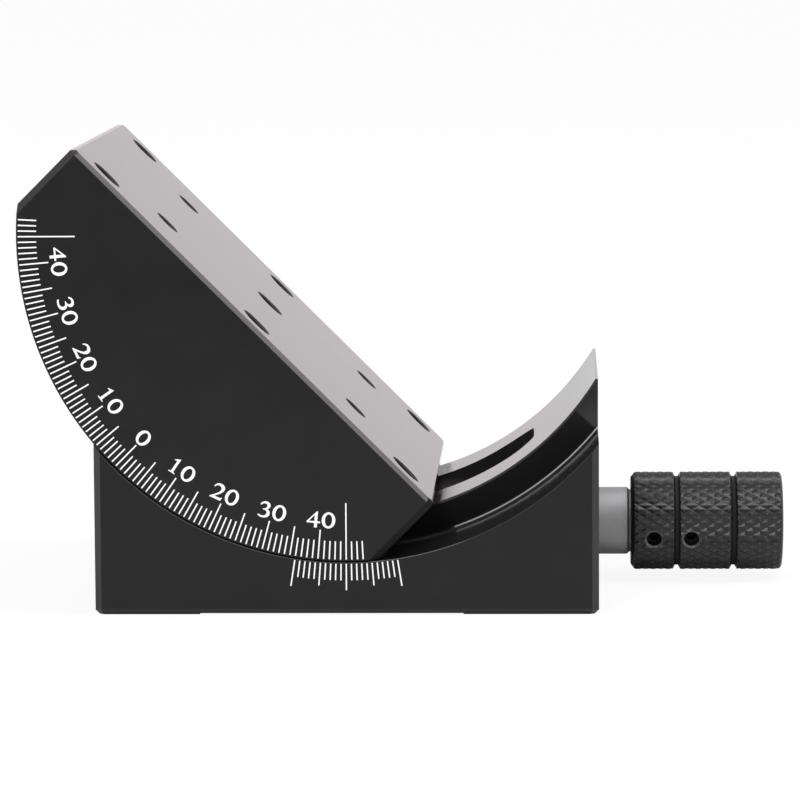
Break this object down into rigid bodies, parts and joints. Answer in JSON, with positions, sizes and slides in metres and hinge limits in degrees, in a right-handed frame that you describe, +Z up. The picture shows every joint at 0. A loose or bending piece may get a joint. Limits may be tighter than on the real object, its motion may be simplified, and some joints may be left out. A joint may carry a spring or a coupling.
{
  "type": "goniometer stage",
  "caption": "Worm-driven goniometer stage: a square table tilts on a curved dovetail about an axis above it, with a degree scale and a knurled knob.",
  "frame": {"origin": "centre of the base's underside, in the middle of the four mounting holes", "axes": "+X along the drive shaft towards the knob, +Y from the scale face to the back, +Z up; the tilt axis runs along Y, 45.2 mm up"},
  "size_m": [0.092, 0.06, 0.0553],
  "materials": {
    "black_anodised": "satin black anodised",
    "knurled_black": "black anodised, diamond knurled",
    "bright_steel": "turned, bare",
    "hard_steel": "ground",
    "blackened_steel": "black oxide",
    "bronze": "machined bronze",
    "brass": "drawn brass"
  },
  "bodies": {
    "base": {"base": "black_anodised", "bearing_sleeve": "bright_steel", "end_plug": "blackened_steel", "sleeve_screw": "blackened_steel", "thrust_washers": "bronze", "tail_bushing": "bronze", "thrust_ball": "hard_steel", "knob_shim": "bright_steel", "stop_pin": "hard_steel"},
    "drive": {"worm_shaft": "hard_steel", "knob": "knurled_black", "knob_set_screws": "blackened_steel"},
    "carriage": {"carriage": "black_anodised", "worm_wheel_segment": "bronze", "segment_screws": "blackened_steel", "gib": "brass", "gib_screws": "blackened_steel"}
  },
  "joints": [
    {"name": "tilt", "type": "hinge", "parent": "base", "child": "carriage", "pos_m": [0, 0, 0.04518], "axis": [0, 1, 0], "range_deg": [-90, 0]},
    {"name": "knob_turn", "type": "hinge", "parent": "base", "child": "drive", "pos_m": [0, 0, 0.00712], "axis": [1, 0, 0], "range_deg": [-12960, 0]}
  ],
  "couplings": [
    {"joint": "knob_turn", "follows": "tilt", "ratio": 144}
  ]
}
